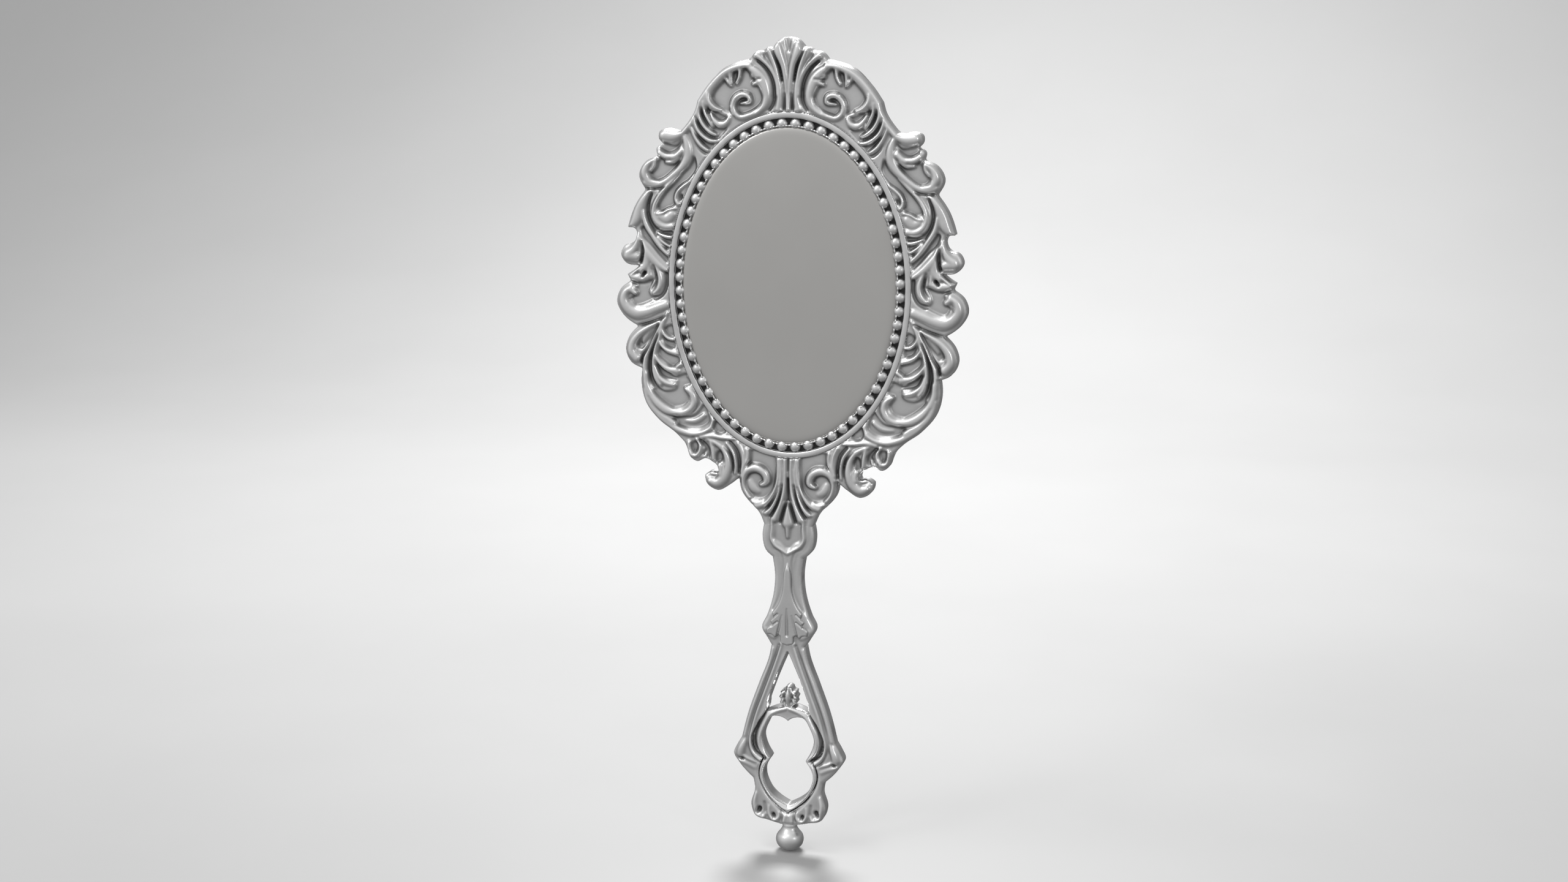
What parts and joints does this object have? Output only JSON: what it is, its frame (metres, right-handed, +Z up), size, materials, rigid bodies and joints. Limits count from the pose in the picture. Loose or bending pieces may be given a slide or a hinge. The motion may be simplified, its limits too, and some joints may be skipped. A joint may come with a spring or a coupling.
{
  "type": "hand mirror",
  "caption": "Ornate cast-metal hand mirror: oval glass in a beaded bezel, scrollwork border with crest shell, waisted handle with an open cusped loop and a drop pommel.",
  "frame": {"origin": "under the pommel, on the handle's centre line and half way through the thickness", "axes": "+Z up the handle to the crest, -Y out of the glass, +X to the right as seen facing the glass"},
  "size_m": [0.1158, 0.0094, 0.2701],
  "materials": {
    "cast_silver": "antiqued cast silver plate, polished on the ridges and dark in the hollows",
    "bezel_silver": "polished silver plate",
    "dark_channel": "oxidised black metal",
    "glass": "satin grey mirror glass",
    "felt": "dark felt",
    "board": "pressed fibre board",
    "steel": "plain steel"
  },
  "bodies": {
    "root": {"head_frame": "cast_silver", "crest_shell": "cast_silver", "base_shell": "cast_silver", "upper_scroll_right": "cast_silver", "upper_scroll_left": "cast_silver", "horn_leaf_right": "cast_silver", "horn_leaf_left": "cast_silver", "side_scroll_right": "cast_silver", "side_scroll_left": "cast_silver", "lower_scroll_right": "cast_silver", "lower_scroll_left": "cast_silver", "hook_leaf_right": "cast_silver", "hook_leaf_left": "cast_silver", "base_volute_right": "cast_silver", "base_volute_left": "cast_silver", "bezel_ring": "bezel_silver", "pearl_beads": "bezel_silver", "glass_rim": "bezel_silver", "bead_channel": "dark_channel", "mirror_glass": "glass", "glass_pad": "felt", "backing_board": "board", "back_plate": "cast_silver", "back_plate_screws": "steel", "handle_tang": "steel", "tang_rivets": "steel", "handle_collar": "cast_silver", "handle_stem": "cast_silver", "stem_leaf": "cast_silver", "handle_loop": "cast_silver", "tracery_ring": "cast_silver", "bud_finial": "cast_silver", "pommel": "cast_silver", "pommel_stud": "steel"}
  },
  "joints": []
}
